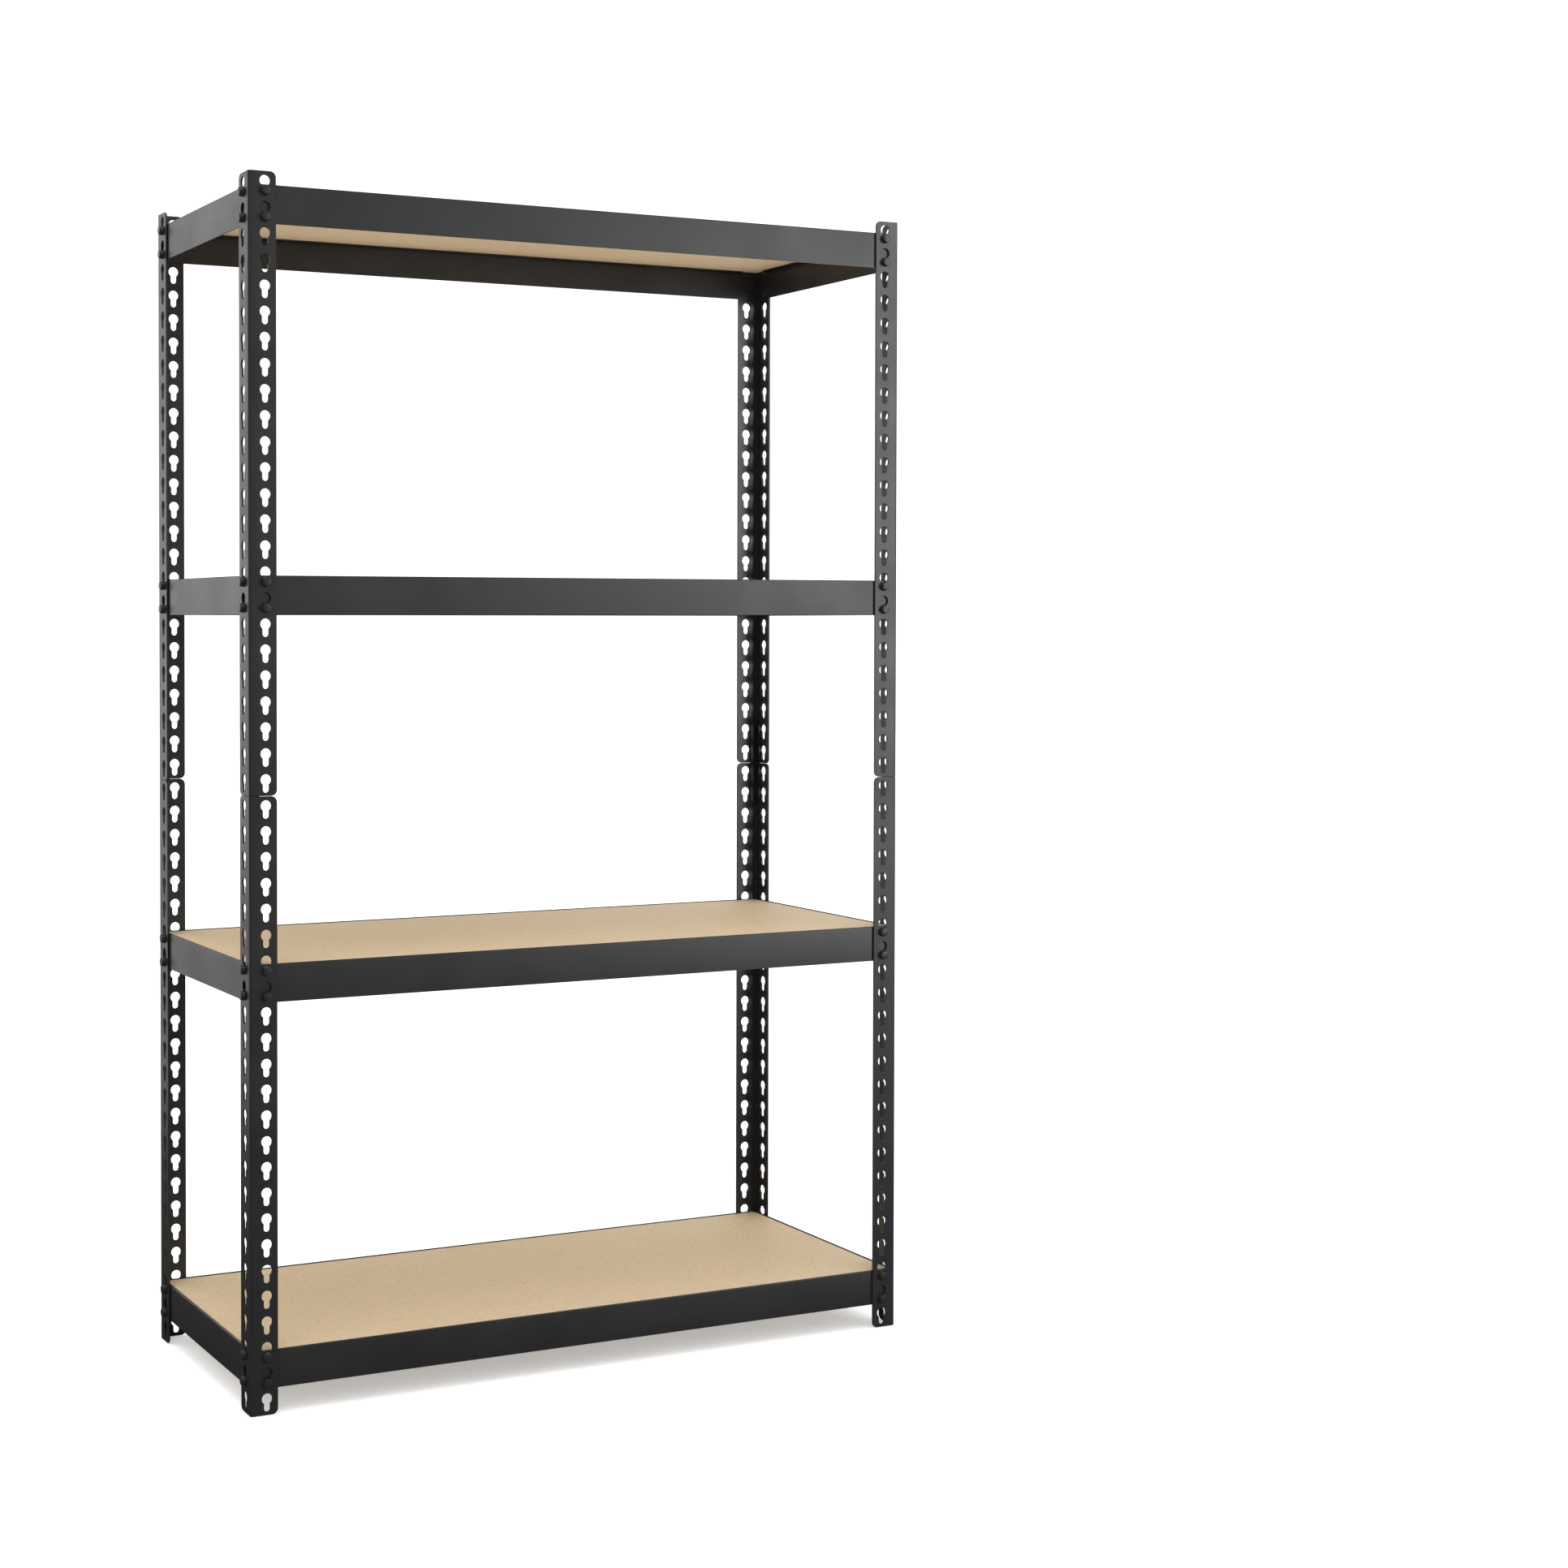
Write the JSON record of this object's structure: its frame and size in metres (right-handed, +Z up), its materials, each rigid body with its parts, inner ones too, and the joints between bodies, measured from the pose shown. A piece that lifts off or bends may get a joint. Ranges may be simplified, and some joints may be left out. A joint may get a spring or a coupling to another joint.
{
  "type": "boltless steel shelving",
  "caption": "Free-standing boltless steel shelving: keyholed angle posts, riveted beams that hook into them, and particleboard decks resting on the beams' ledges.",
  "frame": {"origin": "on the floor, under the middle of the shelving's footprint", "axes": "+Z up along the posts, +X along the long beams to the right, -Y to the front where the goods go in"},
  "size_m": [0.762, 0.3048, 1.2192],
  "materials": {
    "post_paint": "charcoal powder coat on sheet steel, satin, with a very fine orange peel",
    "beam_paint": "charcoal powder coat on sheet steel, satin, with a very fine orange peel",
    "coupler_paint": "black powder coat on sheet steel, satin",
    "particleboard": "bare sanded particleboard, matt, with fine pale and dark chips"
  },
  "bodies": {
    "posts": {"front_left_post_lower": "post_paint", "front_left_post_upper": "post_paint", "front_right_post_lower": "post_paint", "front_right_post_upper": "post_paint", "back_right_post_lower": "post_paint", "back_right_post_upper": "post_paint", "back_left_post_lower": "post_paint", "back_left_post_upper": "post_paint", "front_left_post_coupler": "coupler_paint", "front_right_post_coupler": "coupler_paint", "back_right_post_coupler": "coupler_paint", "back_left_post_coupler": "coupler_paint"},
    "bottom_shelf_frame": {"bottom_front_beam": "beam_paint", "bottom_right_end_beam": "beam_paint", "bottom_back_beam": "beam_paint", "bottom_left_end_beam": "beam_paint"},
    "bottom_deck_board": {"bottom_deck": "particleboard"},
    "lower_shelf_frame": {"lower_front_beam": "beam_paint", "lower_right_end_beam": "beam_paint", "lower_back_beam": "beam_paint", "lower_left_end_beam": "beam_paint"},
    "lower_deck_board": {"lower_deck": "particleboard"},
    "upper_shelf_frame": {"upper_front_beam": "beam_paint", "upper_right_end_beam": "beam_paint", "upper_back_beam": "beam_paint", "upper_left_end_beam": "beam_paint"},
    "upper_deck_board": {"upper_deck": "particleboard"},
    "top_shelf_frame": {"top_front_beam": "beam_paint", "top_right_end_beam": "beam_paint", "top_back_beam": "beam_paint", "top_left_end_beam": "beam_paint"},
    "top_deck_board": {"top_deck": "particleboard"}
  },
  "joints": [
    {"name": "bottom_frame_unhook", "type": "slide", "parent": "posts", "child": "bottom_shelf_frame", "axis": [0, 0, 1], "range_m": [0, 0.0095]},
    {"name": "bottom_deck_lift", "type": "slide", "parent": "bottom_shelf_frame", "child": "bottom_deck_board", "axis": [0, 0, 1], "range_m": [0, 0.1]},
    {"name": "lower_frame_unhook", "type": "slide", "parent": "posts", "child": "lower_shelf_frame", "axis": [0, 0, 1], "range_m": [0, 0.0095]},
    {"name": "lower_deck_lift", "type": "slide", "parent": "lower_shelf_frame", "child": "lower_deck_board", "axis": [0, 0, 1], "range_m": [0, 0.1]},
    {"name": "upper_frame_unhook", "type": "slide", "parent": "posts", "child": "upper_shelf_frame", "axis": [0, 0, 1], "range_m": [0, 0.0095]},
    {"name": "upper_deck_lift", "type": "slide", "parent": "upper_shelf_frame", "child": "upper_deck_board", "axis": [0, 0, 1], "range_m": [0, 0.1]},
    {"name": "top_frame_unhook", "type": "slide", "parent": "posts", "child": "top_shelf_frame", "axis": [0, 0, 1], "range_m": [0, 0.0095]},
    {"name": "top_deck_lift", "type": "slide", "parent": "top_shelf_frame", "child": "top_deck_board", "axis": [0, 0, 1], "range_m": [0, 0.1]}
  ]
}
